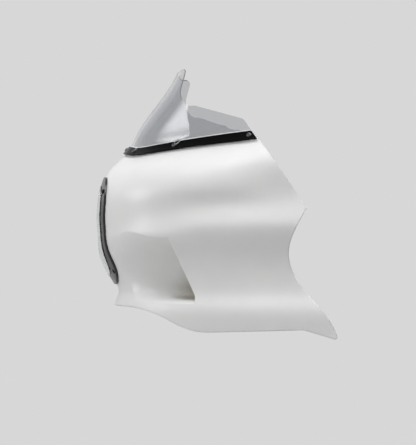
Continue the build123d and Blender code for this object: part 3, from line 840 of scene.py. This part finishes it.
def set_screws(node: str, finish: Finish) -> tuple[bpy.types.Object, list[Seat]]:
    """Set button-head screws on the places of a CAD node's screws.

    Args:
        node: Name of the node.
        finish: Finish of the screws.

    Returns:
        The piece, and the seat of each screw.
    """
    solids = solids_of(node)
    seats = [screw_seat(points) for points in solids]
    length = max(seat.stem(points) for seat, points in zip(seats, solids))
    sizes = {**M5_BUTTON_SCREW, "Length": length}
    screws = FastenerSet(node, Fastener.BUTTON_SCREW, finish, "black_steel", sizes)
    return screws.build(seats), seats


@dataclass
class Shell:
    """The moulded shell, with its gel coat outside and bare laminate inside.

    Attributes:
        node: CAD node of the shell.
        core_x: Place along the shell that its walls face away from, in millimetres.
    """

    node: str = "fairing_shell"
    core_x: float = 50.0

    def build(self) -> bpy.types.Object:
        """Copy the node's mesh and give its two sides their finishes.

        Returns:
            The piece.
        """
        mesh = merged_copy(self.node)
        mesh.materials.clear()
        mesh.materials.append(GEL_COAT.material())
        mesh.materials.append(LAMINATE.material())
        sides = [int(self.faces_inside(face)) for face in mesh.polygons]
        mesh.polygons.foreach_set("material_index", sides)
        return add_piece("moulded_shell", mesh, "shell_white", self.node)

    def faces_inside(self, face: bpy.types.MeshPolygon) -> bool:
        """Tell whether a face looks towards the middle of the shell."""
        outward = Vector((face.center.x - self.core_x * MM, face.center.y, 0.0))
        return face.normal.dot(outward) < 0


@dataclass
class Windscreen:
    """Windshield, its trim strip and the fasteners along it.

    Attributes:
        nut: Sizes of the lock nuts in millimetres.
        bead: Sizes of the white bead, a painted highlight line, in millimetres.
        upward: Least upward part of a normal on the trim's upper edge.
    """

    nut: dict[str, float] = field(
        default_factory=lambda: {"Radius": 4.6, "Height": 5.0, "Shank": 2.65, "Length": 12.0}
    )
    bead: dict[str, float] = field(default_factory=lambda: {"Radius": 1.6, "Step": 4.0})
    upward: float = 0.75

    def build(self) -> list[bpy.types.Object]:
        """Dress the screen and trim and set their fasteners.

        Returns:
            The pieces.
        """
        screws, seats = set_screws("windshield_screws", WORN_OXIDE)
        nuts = FastenerSet("windshield_nuts", Fastener.LOCK_NUT, ZINC_PLATE, "steel", self.nut)
        return [
            dress("windshield", SMOKE_ACRYLIC.material()),
            dress("windshield_trim", GLOSS_ABS.material()),
            dress("windshield_washers", ZINC_PLATE.material()),
            screws,
            nuts.build([nut_seat(points, seats) for points in solids_of("windshield_nuts")]),
            self.paint_edge_highlight(),
        ]

    def paint_edge_highlight(self) -> bpy.types.Object:
        """Run the white bead, a painted highlight, along the trim's upper edge on the screen's
        face.

        Returns:
            The piece.
        """
        trim = welded(bpy.data.objects["windshield_trim"].data)
        corners: dict[bmesh.types.BMVert, None] = {}
        for edge in trim.edges:
            tops = [face.normal.z > self.upward for face in edge.link_faces]
            backs = [face.normal.z < 0 for face in edge.link_faces]
            if any(tops) and any(backs):
                corners.update(dict.fromkeys(edge.verts))
        lift = Vector((0, 0, self.bead["Radius"] * MM))
        path = sorted((corner.co + lift for corner in corners), key=lambda place: place.y)
        trim.free()
        carrier = bpy.data.meshes.new("sealant_path")
        carrier.from_pydata(path, [(index, index + 1) for index in range(len(path) - 1)], [])
        # White bead: a painted highlight line along the trim's upper edge
        mesh = BeadTree().run(carrier, self.bead, PAINTED_HIGHLIGHT_BEAD)
        return add_piece("screen_sealant", mesh, "adhesive_grey")


@dataclass
class Headlight:
    """Headlight in the nose: bezel, lens, housing, reflector and bulb.

    Attributes:
        finishes: Finish of each CAD node.
    """

    finishes: dict[str, Finish] = field(
        default_factory=lambda: {
            "headlight_bezel": SATIN_ABS,
            "headlight_lens": CLEAR_POLYCARBONATE,
            "lens_gasket": RUBBER,
            "headlight_housing": MATTE_PLASTIC,
            "headlight_reflector": MIRROR_COAT,
            "headlight_bulb": LAMP_GLASS,
            "bulb_base": ZINC_PLATE,
            "bulb_terminals": BRASS,
            "bulb_boot": RUBBER,
            "bezel_inserts": BRASS,
        }
    )

    def build(self) -> list[bpy.types.Object]:
        """Dress the headlight's nodes and set the bezel's screws.

        Returns:
            The pieces.
        """
        pieces = [dress(node, finish.material()) for node, finish in self.finishes.items()]
        screws, _ = set_screws("bezel_screws", BLACK_OXIDE)
        return [*pieces, screws]


@dataclass
class StayMount:
    """The stay and the bonded studs that carry the shell on rubber.

    Attributes:
        finishes: Finish of each CAD node.
    """

    finishes: dict[str, Finish] = field(
        default_factory=lambda: {
            "fairing_stay": POWDER_COAT,
            "stud_pads": ADHESIVE,
            "shell_studs": ZINC_PLATE,
            "stud_grommets": RUBBER,
            "stud_washers": ZINC_PLATE,
            "stud_nuts": ZINC_PLATE,
        }
    )

    def build(self) -> list[bpy.types.Object]:
        """Dress the nodes of the stay and its mounts."""
        return [dress(node, finish.material()) for node, finish in self.finishes.items()]


def look(place: Place, aim: Place) -> Euler:
    """Give the turn of a lamp or camera that looks at a point.

    Args:
        place: Where it stands.
        aim: What it looks at.

    Returns:
        Its turn.
    """
    return (Vector(aim) - Vector(place)).to_track_quat("-Z", "Y").to_euler()


@dataclass(frozen=True)
class Softbox:
    """A large round studio lamp.

    Attributes:
        name: Name of the lamp.
        place: Its middle, in metres.
        width: Its diameter in metres.
        power: Its power in watts.
        hot: Where its cloth is brightest, in shares of its width.
        core: How far from there it shines evenly, in shares of its width.
        fade: Where the light has fallen off, in shares of its width.
    """

    name: str
    place: Place
    width: float
    power: float
    hot: tuple[float, float] = (0.5, 0.5)
    core: float = 0.25
    fade: float = 0.5

    def build(self, aim: Place) -> None:
        """Hang the lamp and point it at the fairing."""
        lamp = bpy.data.lights.new(self.name, "AREA")
        lamp.shape = "DISK"
        lamp.size = self.width
        lamp.energy = self.power
        self.soften(lamp)
        holder = bpy.data.objects.new(self.name, lamp)
        holder.location = self.place
        holder.rotation_euler = look(self.place, aim)
        bpy.context.scene.collection.objects.link(holder)

    def soften(self, lamp: bpy.types.AreaLight) -> None:
        """Let the light fall off round the brightest place of the cloth."""
        lamp.use_nodes = True
        tree = lamp.node_tree
        tree.nodes.clear()
        spot = add_node(tree, "ShaderNodeNewGeometry").outputs["Parametric"]
        ends = {0: spot, 1: (*self.hot, 0.0)}
        away = add_node(tree, "ShaderNodeVectorMath", ends, operation="DISTANCE").outputs["Value"]
        level = remap(tree, away, (self.core, self.fade), (1.0, 0.0), "SMOOTHSTEP")
        shine = add_node(tree, "ShaderNodeEmission", {"Strength": level}).outputs[0]
        add_node(tree, "ShaderNodeOutputLight", {"Surface": shine})


@dataclass
class Studio:
    """Pale floor, soft light and the camera.

    Attributes:
        backdrop: Colour behind the fairing.
        ambient: Level of the even light from all round.
        floor_tone: Colour of the floor.
        floor_z: Height of the floor in metres.
        floor_reach: Where the floor starts to fade into the backdrop and where it ends, in metres.
        floor_sides: Sides of the round floor.
        eye: Place of the camera in metres.
        aim: Point in the middle of the picture.
        lens: Focal length in millimetres.
        picture: Length of the picture's longer side at that lens, in millimetres.
        lamps: The soft lamps.
    """

    backdrop: str = "#D7D7D7"
    ambient: float = 0.32
    floor_tone: str = "#DADADA"
    floor_z: float = -0.75
    floor_reach: tuple[float, float] = (0.7, 2.0)
    floor_sides: int = 96
    eye: Place = (-0.060, -2.300, 0.222)
    aim: Place = (-0.116, 0.0, 0.195)
    lens: float = 86.5
    picture: float = 36.0
    lamps: tuple[Softbox, ...] = (
        # Main light, on the upper faces
        Softbox("overhead_softbox", (-0.55, -1.25, 3.9), 3.4, 138.0),
        # Its hot spot is the bright patch in the windshield
        Softbox("front_softbox", (-2.11, -0.21, 0.25), 2.5, 88.0, (0.87, 0.8), core=0.1, fade=0.4),
        # Weak light on the far side of the nose
        Softbox("far_softbox", (-1.72, 1.52, 1.24), 2.4, 4.5),
        # Light along the side, on the rear edges
        Softbox("rear_softbox", (2.3, -0.75, 1.6), 1.0, 92.0),
    )

    def build(self) -> None:
        """Build the whole studio."""
        scene = bpy.context.scene
        scene.view_settings.view_transform = "Standard"
        self.surroundings()
        self.floor()
        for lamp in self.lamps:
            lamp.build(self.aim)
        scene.camera = self.camera()

    def surroundings(self) -> None:
        """Light the room evenly, and show a pale backdrop to the eye and in reflections."""
        world = bpy.data.worlds.new("studio_room")
        world.use_nodes = True
        tree = world.node_tree
        tree.nodes.clear()
        path = add_node(tree, "ShaderNodeLightPath").outputs
        seen = path["Is Camera Ray"]
        for ray in ("Is Glossy Ray", "Is Transmission Ray"):
            either = {0: seen, 1: path[ray]}
            seen = add_node(tree, "ShaderNodeMath", either, operation="MAXIMUM").outputs[0]
        mixed = {0: seen}
        for index, (tone, level) in enumerate(((WHITE, self.ambient), (self.backdrop, 1.0)), 1):
            inputs = {"Color": linear(tone), "Strength": level}
            mixed[index] = add_node(tree, "ShaderNodeBackground", inputs).outputs[0]
        shown = add_node(tree, "ShaderNodeMixShader", mixed).outputs[0]
        add_node(tree, "ShaderNodeOutputWorld", {"Surface": shown})
        bpy.context.scene.world = world

    def floor(self) -> None:
        """Lay a round pale floor that fades out into the backdrop."""
        mesh = bpy.data.meshes.new("studio_floor")
        disc = bmesh.new()
        round_edge = {"segments": self.floor_sides, "radius": self.floor_reach[1]}
        bmesh.ops.create_circle(disc, cap_ends=True, **round_edge)
        bmesh.ops.translate(disc, verts=disc.verts, vec=(0, 0, self.floor_z))
        disc.to_mesh(mesh)
        disc.free()
        paint = bpy.data.materials.new("pale_floor")
        paint.use_nodes = True
        tree = paint.node_tree
        tree.nodes.clear()
        place = add_node(tree, "ShaderNodeTexCoord").outputs["Object"]
        ends = {0: place, 1: (0.0, 0.0, self.floor_z)}
        away = add_node(tree, "ShaderNodeVectorMath", ends, operation="DISTANCE").outputs["Value"]
        share = remap(tree, away, self.floor_reach, (0.0, 1.0), "SMOOTHSTEP")
        tone = {"Color": linear(self.floor_tone)}
        matte = add_node(tree, "ShaderNodeBsdfDiffuse", tone).outputs[0]
        open_air = add_node(tree, "ShaderNodeBsdfTransparent").outputs[0]
        mixed = add_node(tree, "ShaderNodeMixShader", {0: share, 1: matte, 2: open_air}).outputs[0]
        add_node(tree, "ShaderNodeOutputMaterial", {"Surface": mixed})
        mesh.materials.append(paint)
        floor = bpy.data.objects.new("studio_floor", mesh)
        bpy.context.scene.collection.objects.link(floor)

    def camera(self) -> bpy.types.Object:
        """Set up the camera at the photograph's angle.

        Returns:
            The camera.
        """
        data = bpy.data.cameras.new("camera")
        data.sensor_width = self.picture
        data.lens = self.lens
        camera = bpy.data.objects.new("camera", data)
        camera.location = self.eye
        camera.rotation_euler = look(self.eye, self.aim)
        bpy.context.scene.collection.objects.link(camera)
        return camera


def main() -> None:
    """Load the frame, dress every sub-assembly and set up the studio."""
    logging.basicConfig(level=logging.INFO, format="%(name)s: %(message)s")
    for leftover in list(bpy.data.objects):  # the start-up file's cube, lamp and camera
        bpy.data.objects.remove(leftover)
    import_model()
    for assembly in (Shell(), Windscreen(), Headlight(), StayMount()):
        assembly.build()
    Studio().build()


if __name__ == "__main__":
    main()
